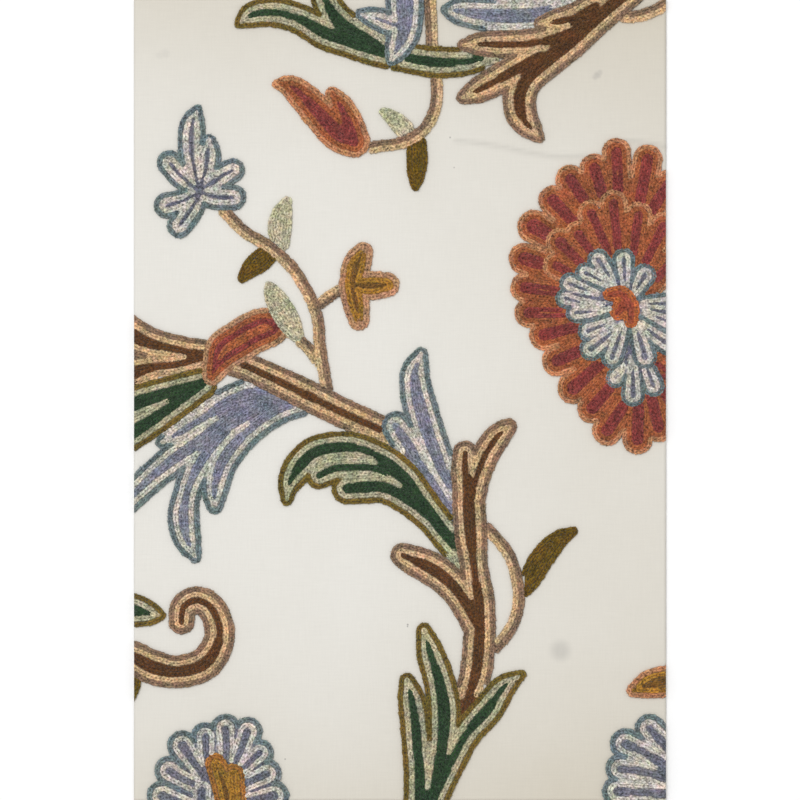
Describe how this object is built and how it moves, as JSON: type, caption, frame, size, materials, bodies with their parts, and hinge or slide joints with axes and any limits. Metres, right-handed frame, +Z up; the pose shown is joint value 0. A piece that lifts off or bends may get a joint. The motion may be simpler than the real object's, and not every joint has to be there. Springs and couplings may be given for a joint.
{
  "type": "crewel embroidery panel",
  "caption": "Flat cut length of off-white cotton worked in wool chain stitch with a scrolling vine, leaves, buds and flowers.",
  "frame": {"origin": "middle of the cloth's flat underside", "axes": "+Z up out of the worked face, +Y towards the top of the design, +X to its right"},
  "size_m": [0.2656, 0.4, 0.0026],
  "materials": {
    "ground_cotton": "plain woven cotton, matt, off-white",
    "bark_wool": "chain stitch in brown, beige and taupe wool",
    "stem_wool": "two rows of chain stitch in beige and taupe wool",
    "green_wool": "chain stitch in dark green, pale sage and olive wool",
    "blue_wool": "chain stitch in lavender blue, cream and teal wool",
    "petal_wool": "chain stitch in cream, slate and teal wool",
    "rust_wool": "chain stitch in plum, rust and pale rust wool",
    "orange_wool": "chain stitch in orange wool",
    "gold_wool": "chain stitch in gold, umber and pale rust wool",
    "sage_wool": "chain stitch in pale sage wool",
    "olive_wool": "chain stitch in olive wool"
  },
  "bodies": {
    "root": {"ground_cloth": "ground_cotton", "aster_left": "petal_wool", "aster_left_eye": "orange_wool", "aster_left_petal": "petal_wool", "aster_right": "petal_wool", "blue_cluster": "blue_wool", "blue_leaf_left": "blue_wool", "blue_leaf_mid": "blue_wool", "blue_leaf_top": "blue_wool", "branch_left_1": "bark_wool", "branch_left_2": "bark_wool", "branch_top": "bark_wool", "branch_upright": "bark_wool", "gold_bud": "gold_wool", "gold_leaf_right": "gold_wool", "green_cluster": "green_wool", "green_leaf_edge": "green_wool", "green_leaf_left": "green_wool", "green_leaf_mid": "green_wool", "green_leaf_top": "green_wool", "olive_leaf_edge": "olive_wool", "olive_leaf_low": "olive_wool", "olive_leaf_mid": "olive_wool", "olive_leaf_top": "olive_wool", "red_bud_left": "rust_wool", "red_bud_top": "rust_wool", "rose_core": "orange_wool", "rose_inner_petals": "rust_wool", "rose_outer_petals_1": "rust_wool", "rose_outer_petals_2": "rust_wool", "rose_rosette": "petal_wool", "rose_rosette_low": "petal_wool", "sage_leaf_low": "sage_wool", "sage_leaf_mid": "sage_wool", "sage_leaf_top": "sage_wool", "scroll": "bark_wool", "small_flower": "petal_wool", "stem_arch": "stem_wool", "stem_bud": "stem_wool", "stem_corner": "stem_wool", "stem_left": "stem_wool", "stem_loop": "stem_wool", "stem_top_1": "stem_wool", "stem_top_2": "stem_wool"}
  },
  "joints": []
}
